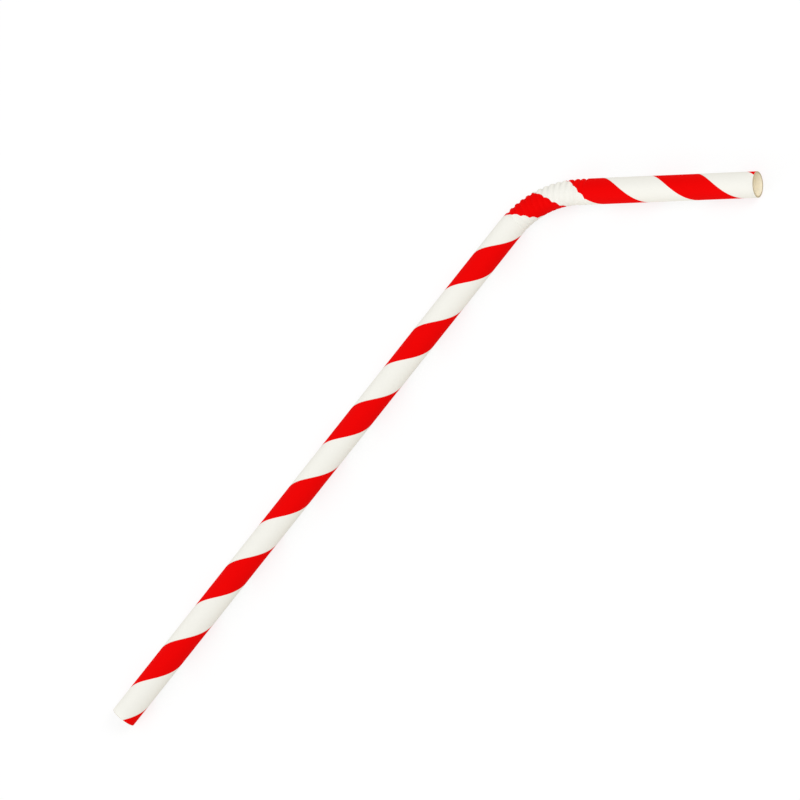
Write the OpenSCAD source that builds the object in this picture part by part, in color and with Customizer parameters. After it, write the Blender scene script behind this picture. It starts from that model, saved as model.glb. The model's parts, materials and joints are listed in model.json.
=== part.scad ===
// Paper drinking straw: one spirally wound paper tube with a crimped neck.
// It is bent at the neck and lies flat on the surface that it rests on.

/* [Tube] */
// Outside diameter of the paper tube
tube_d = 6; // [5:0.5:9]
// Thickness of the wound paper wall
wall = 0.4; // [0.3:0.05:0.6]

/* [Legs] */
// Length of the long leg, from the foot to the neck
long_leg = 145.9; // [80:0.1:220]
// Length of the short leg, from the neck to the mouth
short_leg = 41.7; // [20:0.1:80]

/* [Neck] */
// Angle that the neck is bent through
bend_angle = 50; // [20:1:80]
// Plain start of the bend, before the grooves
bend_lead = 1.9; // [0.3:0.1:3]
// How much slimmer the tube is round the bend, in radius
bend_draw = 0.05; // [0.03:0.01:0.1]
// Number of grooves crimped into the neck
groove_count = 14; // [12:1:20]
// Number of those grooves that the bend takes up, counted from the long leg
bent_grooves = 12; // [8:1:14]
// Spacing of the grooves along the middle of the tube
groove_pitch = 1.45; // [1.4:0.05:2]
// Width of a groove at the outside of the bend, where the crimp is drawn open
groove_w = 1.2; // [0.9:0.05:1.25]
// Depth of a groove at the outside of the bend
open_depth = 0.28; // [0.2:0.02:0.44]
// Depth of a groove at the inside of the bend, where the crimp is closed up
closed_depth = 0.06; // [0.04:0.02:0.2]

/* [Hidden] */
$fn = 64;

tube_r = tube_d / 2;
bore_r = tube_r - wall;

// The bend keeps the length of its lead and its grooves along the middle of the tube
bend_length = bend_lead + bent_grooves * groove_pitch;
bend_r = bend_length / (bend_angle * PI / 180);
// Angle round the bend for one millimetre along the middle of the tube
turn_per_mm = bend_angle / bend_length;
// Straight run from the end of the bend to the mouth
short_run = (groove_count - bent_grooves) * groove_pitch + short_leg;

// A groove is an arc, swept round a ring that lies nearer to the inside of the bend
groove_r = (pow(groove_w / 2, 2) + pow(open_depth, 2)) / (2 * open_depth);
groove_depth = (open_depth + closed_depth) / 2;
ring_shift = (open_depth - closed_depth) / 2;

// How far a cutter runs past the face that it opens
cut_past = 0.05;
// Length by which the slimmer bend runs on inside each leg
seat = 0.1;

// Footprint, measured from the centre of the bend: the foot's end, the far side of
// the long leg, and the two far corners of the mouth's rim
right_edge = (bend_r + tube_r) * sin(bend_angle) + short_run * cos(bend_angle);
front_edge = (bend_r - tube_r) * cos(bend_angle) - short_run * sin(bend_angle);
left_edge = -long_leg;
back_edge = bend_r + tube_r;

// Turns its children about the centre of the bend, from the long leg towards the mouth
module turned(angle) {
    rotate([0, 0, -angle])
        translate([0, bend_r, 0])
            children();
}

// Round bar along X
module bar(radius, length) {
    rotate([0, 90, 0])
        cylinder(r = radius, h = length);
}

// Bend of a round bar, seated in the long leg and in the straight run of the mouth
module bend(radius) {
    seat_turn = seat * turn_per_mm;
    rotate([0, 0, 90 - bend_angle - seat_turn])
        rotate_extrude(angle = bend_angle + 2 * seat_turn)
            translate([bend_r, 0])
                circle(r = radius);
}

// Ring round X that cuts one groove into a bar of this radius, deepest at the outside of the bend
module groove(radius) {
    translate([0, -ring_shift, 0])
        rotate([0, 90, 0])
            rotate_extrude()
                intersection() {
                    translate([radius - groove_depth + groove_r, 0])
                        circle(r = groove_r);
                    translate([0, -groove_r])
                        square([radius + ring_shift + cut_past, 2 * groove_r]);
                }
}

// Bend with its grooves, in a bar of this radius
module crimped_bend(radius) {
    difference() {
        bend(radius);
        for (place = [0.5 : bent_grooves])
            turned((bend_lead + place * groove_pitch) * turn_per_mm)
                groove(radius);
    }
}

// Straight run to the mouth: the last grooves of the neck and the plain short leg
module crimped_run(radius, past_end) {
    difference() {
        bar(radius, short_run + past_end);
        for (place = [0.5 : groove_count - bent_grooves])
            translate([place * groove_pitch, 0, 0])
                groove(radius);
    }
}

// The whole straw as a solid bar of this radius, which runs past both ends
module rod(radius, past_ends) {
    turned(0)
        translate([-long_leg - past_ends, 0, 0])
            bar(radius, long_leg + past_ends);
    crimped_bend(radius - bend_draw);
    turned(bend_angle)
        crimped_run(radius, past_ends);
}

module straw() {
    color("ivory")
        translate([-(left_edge + right_edge) / 2, -(front_edge + back_edge) / 2, tube_r])
            difference() {
                rod(tube_r, 0);
                rod(bore_r, cut_past);
            }
}

straw();
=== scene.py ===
"""Paper drinking straw lying on a pale table: a spirally wound tube with a crimped, bent neck."""
import json
import math

import bmesh
import bpy
from mathutils import Matrix, Vector
from mathutils.geometry import intersect_line_line


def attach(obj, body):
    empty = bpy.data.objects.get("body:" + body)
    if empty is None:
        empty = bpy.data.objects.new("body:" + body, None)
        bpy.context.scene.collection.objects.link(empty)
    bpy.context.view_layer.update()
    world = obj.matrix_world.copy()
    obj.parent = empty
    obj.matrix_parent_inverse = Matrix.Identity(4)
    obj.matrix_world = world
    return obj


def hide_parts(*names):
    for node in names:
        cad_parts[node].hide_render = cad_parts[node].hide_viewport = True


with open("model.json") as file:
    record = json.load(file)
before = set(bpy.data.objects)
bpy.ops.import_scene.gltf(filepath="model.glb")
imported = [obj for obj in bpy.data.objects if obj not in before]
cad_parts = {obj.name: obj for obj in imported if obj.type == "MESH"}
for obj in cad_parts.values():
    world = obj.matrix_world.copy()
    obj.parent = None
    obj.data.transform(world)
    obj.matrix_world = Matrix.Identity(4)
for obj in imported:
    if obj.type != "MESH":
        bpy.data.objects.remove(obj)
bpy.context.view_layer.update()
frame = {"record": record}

MM = 0.001
TURN = 2 * math.pi

# The crimped neck, as the part's source has it
BEND_LEAD = 1.9 * MM  # plain stretch of the bend before its first groove
BEND_DRAW = 0.05 * MM  # how much less the tube's radius is in the bend
GROOVE_COUNT = 14
BENT_GROOVES = 12
GROOVE_WIDTH = 1.2 * MM
OPEN_DEPTH = 0.28 * MM  # of a groove, at the outside of the bend
CLOSED_DEPTH = 0.06 * MM  # of a groove, at the inside of the bend

# Fineness of the tube's mesh, and the rounding of its folds and cut edges
SIDES = 96
GROOVE_STEPS = 8
LEG_STEP = 2 * MM
FOLD_ROUNDING = 0.06 * MM
ROUNDING_STEPS = 2
MERGE_REACH = 0.001 * MM
RING_DIGITS = 7  # digits of a place in metres that tell one ring of points from the next

# The printed spiral
FOOT_CLIMB = 25.11 * MM  # climb of one turn at the foot
MOUTH_CLIMB = 23.51 * MM  # climb of one turn on the short leg
TURNS_GAINED = 0.370  # by winding tighter up the long leg
NECK_TURNS = 1.3725
LEAD_CRIMPS = 1.9  # the bend's plain lead gathers as much paper as this many crimps
STRIPE_START = 0.175  # place of the red's first edge, in turns
RED_SHARE = 0.489  # of each turn

# Sides of the wall, in the order of the straw's materials
OUTSIDE, INSIDE, RIM = range(3)

# Colours of the paper, as they look in plain light, except that the inner cream is lifted with painted
# light and the cut tan is darkened with painted shade
PAPER_WHITE = (0.87, 0.86, 0.80, 1)
INK_RED = (0.84, 0.0006, 0.0006, 1)
# Inner ply: the paper's own cream, raised to full brightness as painted light for light that shines
# through the wall
INNER_CREAM_AND_GLOW = (1.0, 0.92, 0.73, 1)
# Cut edge: the plies' own tan, darkened further as painted shade so the rim reads as a dark line all
# round
CUT_TAN_AND_SHADE = (0.60, 0.51, 0.35, 1)
GLUE_BROWN = (0.42, 0.34, 0.25, 1)

# Grain and finish of all the paper
FIBRE_DETAIL = 3.0
CLOUD_DETAIL = 2.0
GRAIN_ROUGHNESS = 0.6
PAPER_GLOSS = 0.03
PLY_RELIEF = 0.03 * MM  # of the outer and the inner ply

# Outer ply, with widths round the spiral in turns and heights in shares of the relief
OUTER_FIBRE = 0.12 * MM
OUTER_CLOUD = 1.6 * MM
WHITE_TONE = 0.965  # share of its colour that is left where the grain is darkest
WHITE_FIBRE_SHARE = 0.5  # of the grain, with clouds for the rest
RED_TONE = 0.93
RED_FIBRE_SHARE = 0.4
INK_FRAY = 0.25 * MM
INK_FRAY_WIDTH = 0.006
INK_BLUR = 0.0025
OUTER_SEAM_HALF = 0.003
OUTER_SEAM_STAIN = 0.25
OUTER_ROUGHNESS = 0.88
INK_SMOOTHNESS = 0.12
OUTER_FIBRE_HEIGHT = 0.35
OUTER_CLOUD_HEIGHT = 0.4
INK_HEIGHT = 0.15
OUTER_SEAM_DEPTH = 0.8

# Inner ply, in the same measures
INNER_FIBRE = 0.15 * MM
INNER_TONE = 0.97
INNER_SEAM_HALF = 0.006
INNER_SEAM_STAIN = 0.35
INNER_ROUGHNESS = 0.92
INNER_FIBRE_SMOOTHNESS = 0.08
INNER_FIBRE_HEIGHT = 0.6

# Cut edge, with widths across it in plies
PLY_COUNT = 3
CUT_FIBRE = 0.06 * MM
CUT_TONE = 0.9
GLUE_HALF = 0.08
GLUE_BLUR = 0.06
GLUE_STAIN = 0.35
CUT_ROUGHNESS = 0.95
CUT_FIBRE_SMOOTHNESS = 0.05
GLUE_DEPTH = 0.5
CUT_RELIEF = 0.04 * MM

# The table, which looks whiter than the light that it sends back
TABLE_SIZE = 6.0
TABLE_PALENESS = 0.8  # share of plain white in its look
TABLE_LIGHT = (0.76, 0.74, 0.68, 1)

# Lights, with levels in shares of plain light, at which a colour looks as it is written
PLAIN_WHITE = (1, 1, 1, 1)
SKY_LEVEL = 0.74
FOOT_LAMP_LEVEL = 0.43
FOOT_LAMP_AZIMUTH = math.radians(165)
FOOT_LAMP_ELEVATION = math.radians(15)
MOUTH_LAMP_LEVEL = 0.35
MOUTH_LAMP_AZIMUTH = math.radians(-30)
MOUTH_LAMP_ELEVATION = math.radians(45)
LAMP_SIZE = 0.6
LAMP_DISTANCE = 1.2

# The photograph's view: where the camera stands, seen from the point that it looks at
CAMERA_AZIMUTH = math.radians(-69.40)
CAMERA_ELEVATION = math.radians(62.34)
CAMERA_ROLL = math.radians(-70.04)
CAMERA_DISTANCE = 1837.7 * MM
CAMERA_AIM = Vector((2.376, 15.359, 3.0)) * MM
SENSOR_WIDTH = 36  # in millimetres, as Blender takes it
FOCAL_LENGTH = 360  # in millimetres too


# Sizes of the tube, from the part's own mounts

mounts = {mount["name"]: mount for mount in frame["record"]["mounts"]}


def read_leg(name):
    """Radius of a leg's wall, and the ends of its middle line: first the one at the neck."""
    mount = mounts[name]
    middle = Vector(mount["pos_m"])
    half = Vector(mount["axis"]) * mount["dims"]["length_mm"] * MM / 2
    return mount["dims"]["r_mm"] * MM, middle - half, middle + half


tube_radius, neck_foot, foot = read_leg("lid_fit")
bore_radius, neck_mouth, mouth = read_leg("mouth_bore")

up_leg = (neck_foot - foot).normalized()
to_mouth = (mouth - neck_mouth).normalized()
bend_angle = up_leg.angle(to_mouth)
bend_axis = up_leg.cross(to_mouth).normalized()
elbow = intersect_line_line(foot, neck_foot, neck_mouth, mouth)[0]
shoulder = (elbow - neck_foot).length
bend_radius = shoulder / math.tan(bend_angle / 2)

# Places along the straight tube, before it is bent
long_leg = (neck_foot - foot).length
bend_length = bend_radius * bend_angle
bend_end = long_leg + bend_length
groove_pitch = (bend_length - BEND_LEAD) / BENT_GROOVES
neck_start = long_leg + BEND_LEAD
neck_end = neck_start + GROOVE_COUNT * groove_pitch
straw_length = bend_end + (mouth - elbow).length - shoulder
groove_places = [neck_start + (count + 0.5) * groove_pitch for count in range(GROOVE_COUNT)]

# A groove is an arc between two rounded folds
groove_half = GROOVE_WIDTH / 2
groove_reach = groove_half + FOLD_ROUNDING
groove_radius = (groove_half ** 2 + OPEN_DEPTH ** 2) / (2 * OPEN_DEPTH)
groove_sweep = 2 * math.asin(groove_half / groove_radius)

# Paper that a half-round crimp takes up
tuck = (math.pi - 2) * groove_half


def show(name, shape):
    """Puts a finished shape in the scene as an object of this name."""
    mesh = bpy.data.meshes.new(name)
    shape.to_mesh(mesh)
    shape.free()
    piece = bpy.data.objects.new(name, mesh)
    bpy.context.scene.collection.objects.link(piece)
    return piece


# The tube: an outline of its wall is spun round the middle line, and then bent at the neck

def draw_to(wall, tip, place, radius):
    """Draws the outline on from its tip, and returns the new tip."""
    made = bmesh.ops.extrude_vert_indiv(wall, verts=[tip])
    made["verts"][0].co = (place, radius, 0)
    return made["verts"][0]


def swing_groove(wall, tip, place, radius):
    """Swings the outline's tip down and up again through one groove."""
    centre = (place, radius - OPEN_DEPTH + groove_radius, 0)
    made = bmesh.ops.spin(
        wall, geom=[tip], cent=centre, axis=(0, 0, 1), angle=groove_sweep, steps=GROOVE_STEPS)
    return made["geom_last"][0]


def draw_wall(wall, radius):
    """Draws one side of the wall from the foot to the mouth, and returns its ends and folds."""
    start = wall.verts.new((0, radius, 0))
    tip = draw_to(wall, start, long_leg, radius)
    folds = []
    for count, place in enumerate(groove_places):
        level = radius - BEND_DRAW if count < BENT_GROOVES else radius
        tip = draw_to(wall, tip, place - groove_pitch / 2, level)
        tip = draw_to(wall, tip, place - groove_half, level)
        folds.append(tip)
        tip = swing_groove(wall, tip, place, level)
        folds.append(tip)
        if count == BENT_GROOVES - 1:
            tip = draw_to(wall, tip, bend_end, level)
    tip = draw_to(wall, tip, neck_end, radius)
    return start, draw_to(wall, tip, straw_length, radius), folds


def outline_of_wall():
    """Closed outline of the paper wall, in a plane through the middle line."""
    wall = bmesh.new()
    outer_foot, outer_mouth, outer_folds = draw_wall(wall, tube_radius)
    inner_foot, inner_mouth, inner_folds = draw_wall(wall, bore_radius)
    wall.edges.new((outer_foot, inner_foot))
    wall.edges.new((outer_mouth, inner_mouth))
    rims = [outer_foot, inner_foot, outer_mouth, inner_mouth]
    bmesh.ops.bevel(
        wall, geom=rims + outer_folds + inner_folds, offset=FOLD_ROUNDING,
        affect="VERTICES", segments=ROUNDING_STEPS, profile=0.5, material=-1)
    for leg in (long_leg, straw_length - neck_end):
        sides = [edge for edge in wall.edges if abs(edge.calc_length() - leg) < LEG_STEP]
        bmesh.ops.subdivide_edges(wall, edges=sides, cuts=round(leg / LEG_STEP) - 1)
    return wall


def within(value, lowest, highest):
    """The value, kept between two others."""
    return min(max(value, lowest), highest)


def paper_in_neck(place):
    """Paper in the neck before a place. The crimps lean, so each is tucked in past its middle."""
    on_lead = within(place - long_leg, 0, BEND_LEAD)
    along = within(place - neck_start, 0, neck_end - neck_start)
    passed = min(int(along / groove_pitch), GROOVE_COUNT - 1)
    past_middle = along - (passed + 0.5) * groove_pitch
    tucked_in = within(past_middle / groove_half, 0, 1)
    crimps = LEAD_CRIMPS * on_lead / BEND_LEAD + passed + tucked_in
    return on_lead + along + crimps * tuck


def turns_wound(place):
    """Turns that the spiral has made at a place on the straight tube."""
    on_long_leg = min(place, long_leg)
    on_neck = paper_in_neck(place) / paper_in_neck(neck_end)
    on_short_leg = max(place - neck_end, 0)
    return (on_long_leg / FOOT_CLIMB + TURNS_GAINED * (on_long_leg / long_leg) ** 2
            + NECK_TURNS * on_neck + on_short_leg / MOUTH_CLIMB)


def wind_paper(wall):
    """Writes on the outline how many turns the paper has made, and how deep in the wall it is."""
    winding = wall.verts.layers.float.new("winding")
    depth = wall.verts.layers.float.new("depth")
    for point in wall.verts:
        point[depth] = (tube_radius - point.co.y) / (tube_radius - bore_radius)
        point[winding] = turns_wound(point.co.x)


def outwards(place):
    """Direction to a place from the middle line of the straight tube."""
    return Vector((0, place.y, place.z)).normalized()


def side_of_wall(face):
    """Which side of the wall a face of the straight tube is on."""
    middle = face.calc_center_median()
    if middle.x < FOLD_ROUNDING or middle.x > straw_length - FOLD_ROUNDING:
        return RIM
    return OUTSIDE if face.normal.dot(outwards(middle)) > 0 else INSIDE


def spin_wall(tube):
    """Spins the outline into a straight tube, and tells the sides of its wall apart."""
    bmesh.ops.spin(
        tube, geom=tube.verts[:] + tube.edges[:], cent=(0, 0, 0), axis=(1, 0, 0),
        angle=TURN, steps=SIDES, use_merge=True)
    bmesh.ops.remove_doubles(tube, verts=tube.verts, dist=MERGE_REACH)
    bmesh.ops.recalc_face_normals(tube, faces=tube.faces)
    for face in tube.faces:
        face.smooth = True
        face.material_index = side_of_wall(face)


def wrap_paper(tube):
    """Writes on each point its turns of winding, and its direction from the middle line."""
    wrap = tube.verts.layers.float_vector.new("wrap")
    winding = tube.verts.layers.float["winding"]
    for point in tube.verts:
        outward = outwards(point.co)
        point[wrap] = (point[winding], outward.y, outward.z)


def close_grooves(tube):
    """Makes each groove narrower and shallower towards the inside of the bend."""
    for point in tube.verts:
        place = min(groove_places, key=lambda groove: abs(groove - point.co.x))
        offset = point.co.x - place
        if abs(offset) > groove_reach:
            continue
        outward = outwards(point.co)
        depth = (OPEN_DEPTH * (1 + outward.y) + CLOSED_DEPTH * (1 - outward.y)) / 2
        half = math.sqrt((2 * groove_radius - depth) * depth)
        drop = OPEN_DEPTH - groove_radius + math.sqrt(groove_radius ** 2 - offset ** 2)
        point.co += outward * max(drop, 0) * (1 - depth / OPEN_DEPTH)
        point.co.x = place + offset * half / groove_half


def turning_place(along):
    """Place whose turn round the bend a point takes: a groove turns as a whole, about its middle."""
    if along > bend_end + FOLD_ROUNDING / 2:
        return bend_end
    near = [place for place in groove_places if abs(along - place) <= groove_reach]
    return near[0] if near else along


def turn_round_bend(tube):
    """Bends the straight tube at its neck, ring by ring."""
    centre = Vector((long_leg, -bend_radius, 0))
    rings = {}
    for point in tube.verts:
        if point.co.x > long_leg:
            place = round(turning_place(point.co.x), RING_DIGITS)
            rings.setdefault(place, []).append(point)
    for place, ring in rings.items():
        turned = Matrix.Rotation((place - long_leg) / bend_radius, 3, bend_axis)
        bmesh.ops.translate(tube, verts=ring, vec=(long_leg - place, 0, 0))
        bmesh.ops.rotate(tube, verts=ring, cent=centre, matrix=turned)


def make_straw():
    """The whole straw as one closed wall, lying where the part lies."""
    tube = outline_of_wall()
    wind_paper(tube)
    spin_wall(tube)
    wrap_paper(tube)
    close_grooves(tube)
    turn_round_bend(tube)
    bmesh.ops.translate(tube, verts=tube.verts, vec=foot)
    return show("paper_straw", tube)


# Materials

class Wire:
    """A socket of a material's nodes. Plain arithmetic on wires adds Math nodes."""

    # Places of a Mix node's colour sockets, whose names its other sockets share
    SHARE, FIRST, SECOND = 0, 6, 7
    MIXED = 2

    def __init__(self, tree, socket=None):
        self.tree = tree
        self.socket = socket

    def add(self, kind, settings=None, inputs=None, output=0):
        """Adds any node: its settings first, then the values or wires of its sockets."""
        node = self.tree.nodes.new(kind)
        for name, value in (settings or {}).items():
            setattr(node, name, value)
        for key, value in (inputs or {}).items():
            if isinstance(value, Wire):
                self.tree.links.new(value.socket, node.inputs[key])
            else:
                node.inputs[key].default_value = value
        return Wire(self.tree, node.outputs[output] if node.outputs else None)

    def maths(self, operation, *values):
        """Adds a Math node that works on these values or wires, in their order."""
        return self.add("ShaderNodeMath", {"operation": operation}, dict(enumerate(values)))

    def __add__(self, other):
        return self.maths("ADD", self, other)

    def __sub__(self, other):
        return self.maths("SUBTRACT", self, other)

    def __mul__(self, other):
        return self.maths("MULTIPLY", self, other)

    def __truediv__(self, other):
        return self.maths("DIVIDE", self, other)

    def __rsub__(self, other):
        return self.maths("SUBTRACT", other, self)

    def __rtruediv__(self, other):
        return self.maths("DIVIDE", other, self)

    __radd__ = __add__
    __rmul__ = __mul__

    def distance_to(self, line):
        """How far this is from the nearest line, with lines at every whole number from this one."""
        return self.maths("ABSOLUTE", self.maths("WRAP", self - line, 0.5, -0.5))

    def below(self, edge, blur):
        """1 where this is below the edge, 0 above it, with a soft step between."""
        settings = {"interpolation_type": "SMOOTHSTEP"}
        values = {"Value": self, "From Min": edge - blur, "From Max": edge + blur,
                  "To Min": 1.0, "To Max": 0.0}
        return self.add("ShaderNodeMapRange", settings, values)

    def blend(self, first, second):
        """A colour between two, with this as the share of the second."""
        values = {self.SHARE: self, self.FIRST: first, self.SECOND: second}
        return self.add("ShaderNodeMix", {"data_type": "RGBA"}, values, self.MIXED)

    def grain(self, size, detail=CLOUD_DETAIL):
        """Noise from 0 to 1, with grains of about this size, fixed to the straw."""
        place = self.add("ShaderNodeTexCoord", output="Object")
        values = {"Vector": place, "Scale": 1 / size, "Detail": detail, "Roughness": GRAIN_ROUGHNESS}
        return self.add("ShaderNodeTexNoise", None, values)


def new_material(name):
    """An empty material and its first wire."""
    material = bpy.data.materials.new(name)
    material.use_nodes = True
    material.node_tree.nodes.clear()
    return material, Wire(material.node_tree)


def finish_paper(paper, colour, roughness, height, relief):
    """Matt paper with this colour, roughness and surface height."""
    bump = paper.add("ShaderNodeBump", None, {"Strength": 1.0, "Distance": relief, "Height": height})
    values = {"Base Color": colour, "Roughness": roughness, "Normal": bump,
              "Specular IOR Level": PAPER_GLOSS}
    shader = paper.add("ShaderNodeBsdfPrincipled", None, values)
    paper.add("ShaderNodeOutputMaterial", None, {"Surface": shader})


def spiral(paper):
    """Turns of the winding at each point, counted so that a line round the spiral keeps its number."""
    wrap = paper.add("ShaderNodeAttribute", {"attribute_name": "wrap"}, output="Vector")
    turns, outward, upward = (
        paper.add("ShaderNodeSeparateXYZ", None, {0: wrap}, axis) for axis in "XYZ")
    return turns - paper.maths("ARCTAN2", upward, outward) / TURN


def seam_line(around, line, half):
    """1 on a seam that follows a line round the spiral, and 0 beside it."""
    return around.distance_to(line).below(half, half / 2)


def mottled(grain, colour, tone):
    """A colour that keeps only this share of itself where the grain is darkest."""
    dark = tuple(tone * part for part in colour[:3]) + (1,)
    return grain.blend(dark, colour)


def printed_paper():
    """Outer ply: off-white paper with one red stripe, and a seam along the stripe's edge."""
    material, paper = new_material("printed_paper")
    fibre = paper.grain(OUTER_FIBRE, FIBRE_DETAIL)
    cloud = paper.grain(OUTER_CLOUD)
    fray = (paper.grain(INK_FRAY) - 0.5) * INK_FRAY_WIDTH
    around = spiral(paper) - STRIPE_START
    ink = (around.distance_to(RED_SHARE / 2) + fray).below(RED_SHARE / 2, INK_BLUR)
    seam = seam_line(around, RED_SHARE, OUTER_SEAM_HALF)
    white_grain = fibre * WHITE_FIBRE_SHARE + cloud * (1 - WHITE_FIBRE_SHARE)
    red_grain = fibre * RED_FIBRE_SHARE + cloud * (1 - RED_FIBRE_SHARE)
    white = mottled(white_grain, PAPER_WHITE, WHITE_TONE)
    red = mottled(red_grain, INK_RED, RED_TONE)
    colour = (seam * OUTER_SEAM_STAIN).blend(ink.blend(white, red), GLUE_BROWN)
    roughness = OUTER_ROUGHNESS - ink * INK_SMOOTHNESS
    height = (fibre * OUTER_FIBRE_HEIGHT + cloud * OUTER_CLOUD_HEIGHT
              + ink * INK_HEIGHT - seam * OUTER_SEAM_DEPTH)
    finish_paper(paper, colour, roughness, height, PLY_RELIEF)
    return material


def plain_ply():
    """Inner ply: cream paper with its own seam, seen in the mouth. Its colour is lifted with painted
    light, standing in for light that shines through the thin wall.
    """
    material, paper = new_material("inner_ply")
    fibre = paper.grain(INNER_FIBRE, FIBRE_DETAIL)
    seam = seam_line(spiral(paper), 0, INNER_SEAM_HALF)
    # This cream carries painted light, in place of light coming through the wall
    cream = mottled(fibre, INNER_CREAM_AND_GLOW, INNER_TONE)
    colour = (seam * INNER_SEAM_STAIN).blend(cream, GLUE_BROWN)
    roughness = INNER_ROUGHNESS - fibre * INNER_FIBRE_SMOOTHNESS
    finish_paper(paper, colour, roughness, fibre * INNER_FIBRE_HEIGHT - seam, PLY_RELIEF)
    return material


def cut_plies():
    """Cut end of the wall: plies with thin lines of glue between them. Their tan is darkened with
    painted shade, so the rim shows as a dark line.
    """
    material, paper = new_material("cut_plies")
    fibre = paper.grain(CUT_FIBRE, FIBRE_DETAIL)
    depth = paper.add("ShaderNodeAttribute", {"attribute_name": "depth"}, output="Fac")
    glue = (depth * PLY_COUNT).distance_to(0).below(GLUE_HALF, GLUE_BLUR)
    # The tan of the cut edge carries painted shade along the rim
    plies = mottled(fibre, CUT_TAN_AND_SHADE, CUT_TONE)
    colour = (glue * GLUE_STAIN).blend(plies, GLUE_BROWN)
    roughness = CUT_ROUGHNESS - fibre * CUT_FIBRE_SMOOTHNESS
    finish_paper(paper, colour, roughness, fibre - glue * GLUE_DEPTH, CUT_RELIEF)
    return material


def seen_directly(wire):
    """1 for what the camera sees, also in a gloss or through glass, and 0 for light."""
    rays = ("Is Camera Ray", "Is Glossy Ray", "Is Transmission Ray")
    camera, gloss, through = (wire.add("ShaderNodeLightPath", output=ray) for ray in rays)
    return wire.maths("MAXIMUM", camera, wire.maths("MAXIMUM", gloss, through))


def white_table():
    """White table that keeps a pale shadow of the straw, and sends a softer light back to it."""
    material, table = new_material("white_table")
    seen = seen_directly(table)
    lit = table.add("ShaderNodeBsdfDiffuse", None, {"Color": seen.blend(TABLE_LIGHT, PLAIN_WHITE)})
    pale = table.add("ShaderNodeEmission", None, {"Color": PLAIN_WHITE, "Strength": 1.0})
    top = table.add("ShaderNodeMixShader", None, {0: seen * TABLE_PALENESS, 1: lit, 2: pale})
    table.add("ShaderNodeOutputMaterial", None, {"Surface": top})
    return material


# The studio: table, light and camera

def lay_table():
    """A flat square table under the straw, which is no piece of it."""
    table = bmesh.new()
    bmesh.ops.create_grid(table, x_segments=1, y_segments=1, size=TABLE_SIZE / 2)
    floor = show("table", table)
    floor.data.materials.append(white_table())


def towards(azimuth, elevation):
    """Direction from the straw to what stands at this azimuth and elevation."""
    level = math.cos(elevation)
    return Vector((level * math.cos(azimuth), level * math.sin(azimuth), math.sin(elevation)))


def hang_lamp(name, level, direction):
    """A soft square lamp that faces the straw, and adds its level of plain light there."""
    lamp = bpy.data.lights.new(name, "AREA")
    lamp.size = LAMP_SIZE
    lamp.energy = level * (math.pi * LAMP_DISTANCE) ** 2
    hung = bpy.data.objects.new(name, lamp)
    hung.location = direction * LAMP_DISTANCE
    hung.rotation_euler = (-direction).to_track_quat("-Z", "Y").to_euler()
    bpy.context.scene.collection.objects.link(hung)


def light_studio():
    """An even white sky, a low lamp beyond the foot, and a higher one that shines into the mouth."""
    world = bpy.data.worlds.new("studio")
    bpy.context.scene.world = world
    world.use_nodes = True
    world.node_tree.nodes.clear()
    sky = Wire(world.node_tree)
    strength = SKY_LEVEL + (1 - SKY_LEVEL) * seen_directly(sky)
    shade = sky.add("ShaderNodeBackground", None, {"Color": PLAIN_WHITE, "Strength": strength})
    sky.add("ShaderNodeOutputWorld", None, {"Surface": shade})
    hang_lamp("foot_lamp", FOOT_LAMP_LEVEL, towards(FOOT_LAMP_AZIMUTH, FOOT_LAMP_ELEVATION))
    hang_lamp("mouth_lamp", MOUTH_LAMP_LEVEL, towards(MOUTH_LAMP_AZIMUTH, MOUTH_LAMP_ELEVATION))


def place_camera():
    """The camera of the photograph: a long lens that looks down on the straw, rolled to its side."""
    back = towards(CAMERA_AZIMUTH, CAMERA_ELEVATION)
    lens = bpy.data.cameras.new("camera")
    lens.sensor_width = SENSOR_WIDTH
    lens.lens = FOCAL_LENGTH
    camera = bpy.data.objects.new("camera", lens)
    upright = (-back).to_track_quat("-Z", "Y").to_matrix()
    rolled = upright @ Matrix.Rotation(CAMERA_ROLL, 3, "Z")
    camera.matrix_world = Matrix.Translation(CAMERA_AIM + back * CAMERA_DISTANCE) @ rolled.to_4x4()
    bpy.context.scene.collection.objects.link(camera)
    bpy.context.scene.camera = camera


place_camera()
light_studio()
lay_table()
straw = make_straw()
for material in (printed_paper(), plain_ply(), cut_plies()):
    straw.data.materials.append(material)
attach(straw, "root")
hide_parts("straw")

bpy.context.scene.view_settings.view_transform = "Standard"
